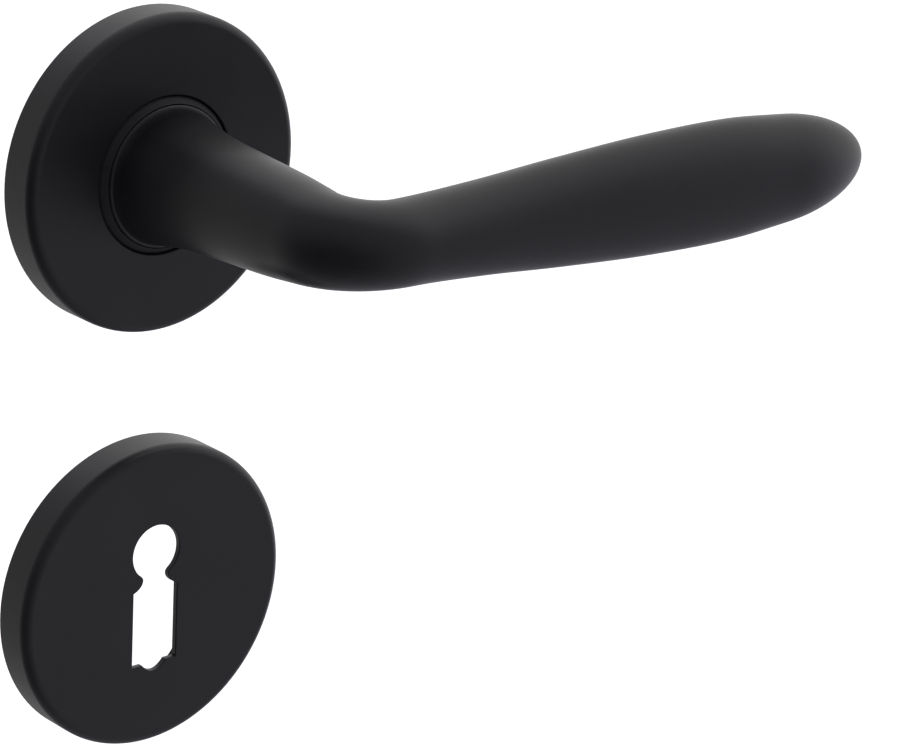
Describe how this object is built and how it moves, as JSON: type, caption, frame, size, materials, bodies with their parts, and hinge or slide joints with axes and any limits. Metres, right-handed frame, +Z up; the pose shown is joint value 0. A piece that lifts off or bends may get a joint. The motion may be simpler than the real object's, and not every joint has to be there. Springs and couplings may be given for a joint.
{
  "type": "lever handle lockset",
  "caption": "Smooth black lever handle turning on a sprung round rose, with a matching round key escutcheon below it, one side of a door set.",
  "frame": {"origin": "where the spindle's axis meets the face of the door", "axes": "+X the way the lever points at rest, +Y into the door along the spindle, +Z up"},
  "size_m": [0.1297, 0.0857, 0.124],
  "materials": {
    "black_finish": "satin black powder coat on pressed steel, fine even texture",
    "black_casting": "satin black powder coat on a die casting, smoother than the covers",
    "nylon": "moulded glass-filled nylon, dull",
    "zinc_steel": "bright zinc plate",
    "spring_steel": "oiled dark spring steel",
    "acetal": "natural acetal"
  },
  "bodies": {
    "door_plates": {"rose_cover": "black_finish", "rose_base": "nylon", "rose_snap_ring": "spring_steel", "guide_ring": "nylon", "return_spring_upper": "spring_steel", "return_spring_lower": "spring_steel", "thrust_washer": "acetal", "rose_screw_right": "zinc_steel", "rose_screw_left": "zinc_steel", "bolt_sleeve_upper": "zinc_steel", "bolt_sleeve_lower": "zinc_steel", "escutcheon_cover": "black_finish", "escutcheon_base": "nylon", "escutcheon_snap_ring": "spring_steel", "escutcheon_screw_right": "zinc_steel", "escutcheon_screw_left": "zinc_steel"},
    "lever": {"lever_handle": "black_casting", "square_spindle": "zinc_steel", "grub_screw": "spring_steel", "spring_driver": "zinc_steel", "retaining_clip": "spring_steel"}
  },
  "joints": [
    {"name": "lever_turn", "type": "hinge", "parent": "door_plates", "child": "lever", "pos_m": [0, 0, 0], "axis": [0, 1, 0], "range_deg": [0, 45], "stiffness_Nm_per_rad": 0.35, "springref_deg": -85.94, "deforming": ["return_spring_upper", "return_spring_lower"]}
  ]
}
